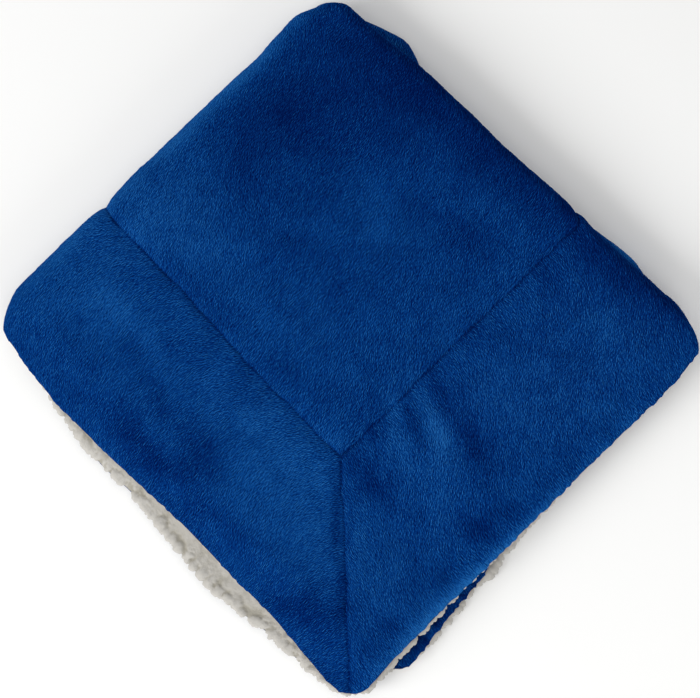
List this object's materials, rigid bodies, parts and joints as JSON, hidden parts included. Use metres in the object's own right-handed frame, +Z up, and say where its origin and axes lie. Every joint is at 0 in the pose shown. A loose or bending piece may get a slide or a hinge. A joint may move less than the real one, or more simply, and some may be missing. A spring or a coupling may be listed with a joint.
{
  "type": "folded sherpa blanket",
  "caption": "Small two-ply blanket, plush face with a mitred border and curled sherpa back, folded in four as a flat square stack.",
  "frame": {"origin": "on the surface it rests on, under the middle of the folded stack", "axes": "+Z up; the big second fold lies along -X, the doubled first fold along +Y, the free edges along +X and -Y"},
  "size_m": [0.406, 0.3932, 0.0393],
  "materials": {
    "sherpa": "matt, curled off-white sherpa pile",
    "plush": "short brushed royal-blue plush with a soft sheen"
  },
  "bodies": {
    "root": {"sherpa_back": "sherpa", "centre_panel": "plush", "border_strip_end_upper": "plush", "border_strip_end_lower": "plush", "border_strip_side_outer": "plush", "border_strip_side_inner": "plush"}
  },
  "joints": []
}
